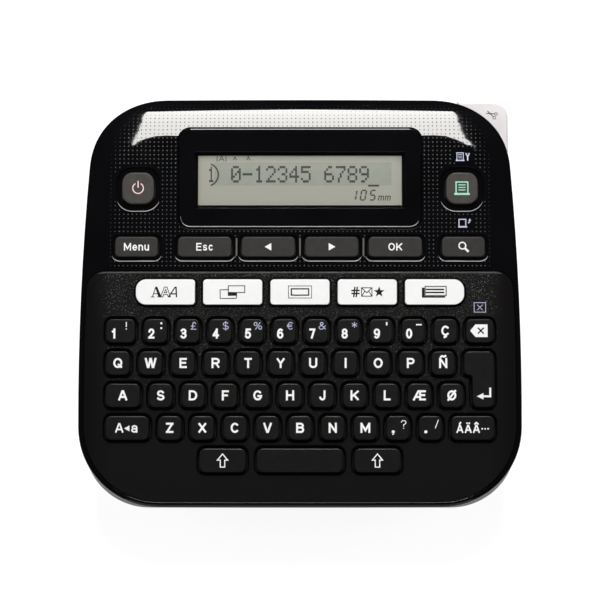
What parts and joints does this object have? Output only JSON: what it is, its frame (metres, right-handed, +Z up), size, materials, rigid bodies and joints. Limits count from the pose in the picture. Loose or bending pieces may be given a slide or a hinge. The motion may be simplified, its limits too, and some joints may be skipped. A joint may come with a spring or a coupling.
{
  "type": "label maker",
  "caption": "Desktop label maker: sloped black keyboard face with display, white function keys, corner cutter lever, tape mechanism and light grey base.",
  "frame": {"origin": "under the middle of the bounding box, on the plane that the feet stand on", "axes": "+X to the right as the keyboard is read, +Y to the rear, +Z up"},
  "size_m": [0.158, 0.1492, 0.0673],
  "materials": {
    "black_gloss": "high gloss black moulding with a fine dot grid on the fascia",
    "black_texture": "textured matt black",
    "light_grey": "fine matt light grey",
    "key_black": "satin black key",
    "key_grey": "satin dark grey key",
    "white": "satin white",
    "clear": "clear window",
    "lcd": "grey-green liquid crystal panel",
    "sheet_rubber": "grey silicone rubber",
    "foot_rubber": "black rubber",
    "board": "green circuit board",
    "steel": "bright steel",
    "alloy": "plain aluminium",
    "cell": "wrapped dry cell",
    "gear_plastic": "natural acetal",
    "cassette_plastic": "grey cassette moulding",
    "tape": "white label tape",
    "head_ceramic": "thermal print head"
  },
  "bodies": {
    "base": {"upper_case": "black_gloss", "keyboard_panel": "black_texture", "lower_case": "light_grey", "display_bezel": "black_gloss", "display_lens": "clear", "lcd_module": "lcd", "keypad_sheet": "sheet_rubber", "main_board": "board", "board_screws": "steel", "case_screws": "steel", "rubber_feet": "foot_rubber", "power_inlet": "key_black", "batteries": "cell", "battery_contacts": "steel", "mechanism_frame": "alloy", "mechanism_screws": "steel", "drive_motor": "steel", "heat_sink": "alloy", "print_head": "head_ceramic", "roller_holder_pin": "steel", "cassette_case": "cassette_plastic", "label_tape": "tape", "lever_pivot_pin": "steel"},
    "compartment_cover": {"compartment_cover": "light_grey"},
    "cutter": {"cutter_lever": "white", "cutter_blade": "steel"},
    "roller_holder": {"roller_holder": "gear_plastic"},
    "platen": {"platen_roller": "sheet_rubber", "platen_gear": "gear_plastic"},
    "idler": {"idler_gear": "gear_plastic"},
    "motor_rotor": {"motor_pinion": "steel"},
    "ribbon_drive": {"ribbon_drive_spindle": "gear_plastic", "ribbon_takeup_spool": "cassette_plastic"},
    "tape_supply": {"tape_spool": "tape"},
    "ribbon_supply": {"ribbon_supply_spool": "key_black"},
    "power_button": {"power_button": "key_black"},
    "print_button": {"print_button": "key_black"},
    "menu_key": {"menu_key": "key_grey"},
    "esc_key": {"esc_key": "key_grey"},
    "left_arrow_key": {"left_arrow_key": "key_grey"},
    "right_arrow_key": {"right_arrow_key": "key_grey"},
    "ok_key": {"ok_key": "key_grey"},
    "search_key": {"search_key": "key_grey"},
    "style_key": {"style_key": "white"},
    "label_key": {"label_key": "white"},
    "frame_key": {"frame_key": "white"},
    "symbol_key": {"symbol_key": "white"},
    "file_key": {"file_key": "white"},
    "number_row_keys": {"number_row_keys": "key_black"},
    "upper_letter_row_keys": {"upper_letter_row_keys": "key_black"},
    "middle_letter_row_keys": {"middle_letter_row_keys": "key_black"},
    "lower_letter_row_keys": {"lower_letter_row_keys": "key_black"},
    "backspace_key": {"backspace_key": "key_black"},
    "enter_key": {"enter_key": "key_black"},
    "caps_key": {"caps_key": "key_black"},
    "accent_key": {"accent_key": "key_black"},
    "left_shift_key": {"left_shift_key": "key_black"},
    "right_shift_key": {"right_shift_key": "key_black"},
    "space_key": {"space_key": "key_black"}
  },
  "joints": [
    {"name": "cover_hinge", "type": "hinge", "parent": "base", "child": "compartment_cover", "pos_m": [0, -0.015, 0.0015], "axis": [-1, 0, 0], "range_deg": [0, 100]},
    {"name": "cutter_hinge", "type": "hinge", "parent": "base", "child": "cutter", "pos_m": [0.058, 0.062, 0.042], "axis": [0, 1, 0], "range_deg": [0, 10], "stiffness_Nm_per_rad": 0.3},
    {"name": "holder_hinge", "type": "hinge", "parent": "base", "child": "roller_holder", "pos_m": [0.0615, 0.03, 0.024], "axis": [0, 0, -1], "range_deg": [0, 8], "stiffness_Nm_per_rad": 0.2},
    {"name": "tape_spool_turn", "type": "hinge", "parent": "base", "child": "tape_supply", "pos_m": [0.0095, 0.025, 0.012], "axis": [0, 0, 1], "continuous": true},
    {"name": "platen_turn", "type": "hinge", "parent": "roller_holder", "child": "platen", "pos_m": [0.05438, 0.044, 0.012], "axis": [0, 0, 1], "continuous": true},
    {"name": "idler_turn", "type": "hinge", "parent": "base", "child": "idler", "pos_m": [0.0455, 0.02863, 0.03], "axis": [0, 0, 1], "continuous": true},
    {"name": "motor_turn", "type": "hinge", "parent": "base", "child": "motor_rotor", "pos_m": [0.02965, 0.02555, 0.03], "axis": [0, 0, 1], "continuous": true},
    {"name": "ribbon_drive_turn", "type": "hinge", "parent": "base", "child": "ribbon_drive", "pos_m": [0.03007, 0.04158, 0.03], "axis": [0, 0, 1], "continuous": true},
    {"name": "ribbon_supply_turn", "type": "hinge", "parent": "base", "child": "ribbon_supply", "pos_m": [0.044, 0.012, 0.012], "axis": [0, 0, 1], "continuous": true},
    {"name": "press_power_button", "type": "slide", "parent": "base", "child": "power_button", "axis": [0, 0.2079, -0.9781], "range_m": [0, 0.001], "stiffness_N_per_m": 500},
    {"name": "press_print_button", "type": "slide", "parent": "base", "child": "print_button", "axis": [0, 0.2079, -0.9781], "range_m": [0, 0.001], "stiffness_N_per_m": 500},
    {"name": "press_menu_key", "type": "slide", "parent": "base", "child": "menu_key", "axis": [0, 0.2079, -0.9781], "range_m": [0, 0.001], "stiffness_N_per_m": 500},
    {"name": "press_esc_key", "type": "slide", "parent": "base", "child": "esc_key", "axis": [0, 0.2079, -0.9781], "range_m": [0, 0.001], "stiffness_N_per_m": 500},
    {"name": "press_left_arrow_key", "type": "slide", "parent": "base", "child": "left_arrow_key", "axis": [0, 0.2079, -0.9781], "range_m": [0, 0.001], "stiffness_N_per_m": 500},
    {"name": "press_right_arrow_key", "type": "slide", "parent": "base", "child": "right_arrow_key", "axis": [0, 0.2079, -0.9781], "range_m": [0, 0.001], "stiffness_N_per_m": 500},
    {"name": "press_ok_key", "type": "slide", "parent": "base", "child": "ok_key", "axis": [0, 0.2079, -0.9781], "range_m": [0, 0.001], "stiffness_N_per_m": 500},
    {"name": "press_search_key", "type": "slide", "parent": "base", "child": "search_key", "axis": [0, 0.2079, -0.9781], "range_m": [0, 0.001], "stiffness_N_per_m": 500},
    {"name": "press_style_key", "type": "slide", "parent": "base", "child": "style_key", "axis": [0, 0.2079, -0.9781], "range_m": [0, 0.001], "stiffness_N_per_m": 500},
    {"name": "press_label_key", "type": "slide", "parent": "base", "child": "label_key", "axis": [0, 0.2079, -0.9781], "range_m": [0, 0.001], "stiffness_N_per_m": 500},
    {"name": "press_frame_key", "type": "slide", "parent": "base", "child": "frame_key", "axis": [0, 0.2079, -0.9781], "range_m": [0, 0.001], "stiffness_N_per_m": 500},
    {"name": "press_symbol_key", "type": "slide", "parent": "base", "child": "symbol_key", "axis": [0, 0.2079, -0.9781], "range_m": [0, 0.001], "stiffness_N_per_m": 500},
    {"name": "press_file_key", "type": "slide", "parent": "base", "child": "file_key", "axis": [0, 0.2079, -0.9781], "range_m": [0, 0.001], "stiffness_N_per_m": 500},
    {"name": "press_number_row_keys", "type": "slide", "parent": "base", "child": "number_row_keys", "axis": [0, 0.2079, -0.9781], "range_m": [0, 0.001], "stiffness_N_per_m": 500},
    {"name": "press_upper_letter_row_keys", "type": "slide", "parent": "base", "child": "upper_letter_row_keys", "axis": [0, 0.2079, -0.9781], "range_m": [0, 0.001], "stiffness_N_per_m": 500},
    {"name": "press_middle_letter_row_keys", "type": "slide", "parent": "base", "child": "middle_letter_row_keys", "axis": [0, 0.2079, -0.9781], "range_m": [0, 0.001], "stiffness_N_per_m": 500},
    {"name": "press_lower_letter_row_keys", "type": "slide", "parent": "base", "child": "lower_letter_row_keys", "axis": [0, 0.2079, -0.9781], "range_m": [0, 0.001], "stiffness_N_per_m": 500},
    {"name": "press_backspace_key", "type": "slide", "parent": "base", "child": "backspace_key", "axis": [0, 0.2079, -0.9781], "range_m": [0, 0.001], "stiffness_N_per_m": 500},
    {"name": "press_enter_key", "type": "slide", "parent": "base", "child": "enter_key", "axis": [0, 0.2079, -0.9781], "range_m": [0, 0.001], "stiffness_N_per_m": 500},
    {"name": "press_caps_key", "type": "slide", "parent": "base", "child": "caps_key", "axis": [0, 0.2079, -0.9781], "range_m": [0, 0.001], "stiffness_N_per_m": 500},
    {"name": "press_accent_key", "type": "slide", "parent": "base", "child": "accent_key", "axis": [0, 0.2079, -0.9781], "range_m": [0, 0.001], "stiffness_N_per_m": 500},
    {"name": "press_left_shift_key", "type": "slide", "parent": "base", "child": "left_shift_key", "axis": [0, 0.2079, -0.9781], "range_m": [0, 0.001], "stiffness_N_per_m": 500},
    {"name": "press_right_shift_key", "type": "slide", "parent": "base", "child": "right_shift_key", "axis": [0, 0.2079, -0.9781], "range_m": [0, 0.001], "stiffness_N_per_m": 500},
    {"name": "press_space_key", "type": "slide", "parent": "base", "child": "space_key", "axis": [0, 0.2079, -0.9781], "range_m": [0, 0.001], "stiffness_N_per_m": 500}
  ],
  "couplings": [
    {"joint": "platen_turn", "follows": "tape_spool_turn", "ratio": -4.75},
    {"joint": "idler_turn", "follows": "tape_spool_turn", "ratio": 2.2167},
    {"joint": "motor_turn", "follows": "tape_spool_turn", "ratio": -6.65},
    {"joint": "ribbon_drive_turn", "follows": "tape_spool_turn", "ratio": -3.325},
    {"joint": "ribbon_supply_turn", "follows": "tape_spool_turn", "ratio": -2.4937}
  ]
}
